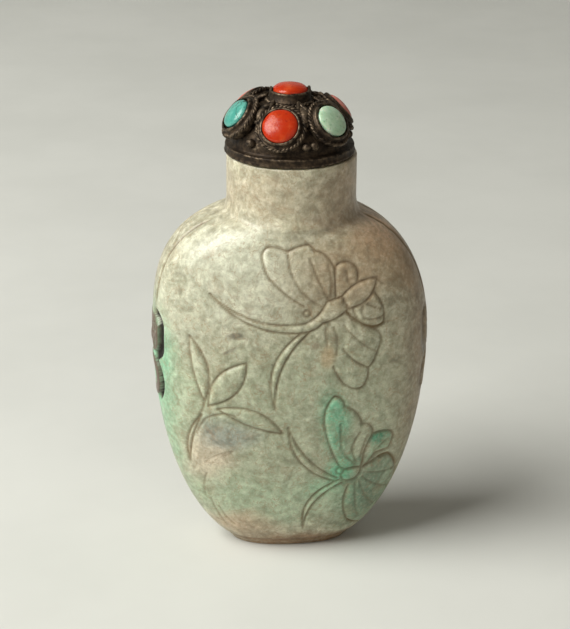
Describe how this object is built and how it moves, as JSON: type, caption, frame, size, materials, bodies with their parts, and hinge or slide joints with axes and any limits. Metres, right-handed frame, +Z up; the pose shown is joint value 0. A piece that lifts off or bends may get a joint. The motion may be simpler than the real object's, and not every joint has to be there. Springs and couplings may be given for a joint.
{
  "type": "snuff bottle",
  "caption": "Flattened carved stone snuff bottle, hollow, with a cork stopper under a domed silver cap set with small polished stones.",
  "frame": {"origin": "middle of the foot's underside, under the middle of the bottle's width and thickness", "axes": "+Z up through the neck and stopper, -Y out of the carved front face, +X to the right of someone facing that front"},
  "size_m": [0.0422, 0.0236, 0.0726],
  "materials": {
    "jade": "waxy polish, pale celadon with apple-green and cream zones",
    "silver": "dark oxidised silver with worn highlights",
    "cork": "matte",
    "coral": "polished orange-red coral",
    "turquoise": "polished turquoise",
    "green_stone": "polished pale mottled green"
  },
  "bodies": {
    "root": {"bottle": "jade", "stopper_cap": "silver", "stopper_cork": "cork", "stone_front_coral": "coral", "stone_back_right_coral": "coral", "stone_back_left_coral": "coral", "stone_top_coral": "coral", "stone_left_turquoise": "turquoise", "stone_back_turquoise": "turquoise", "stone_right_green": "green_stone"}
  },
  "joints": []
}
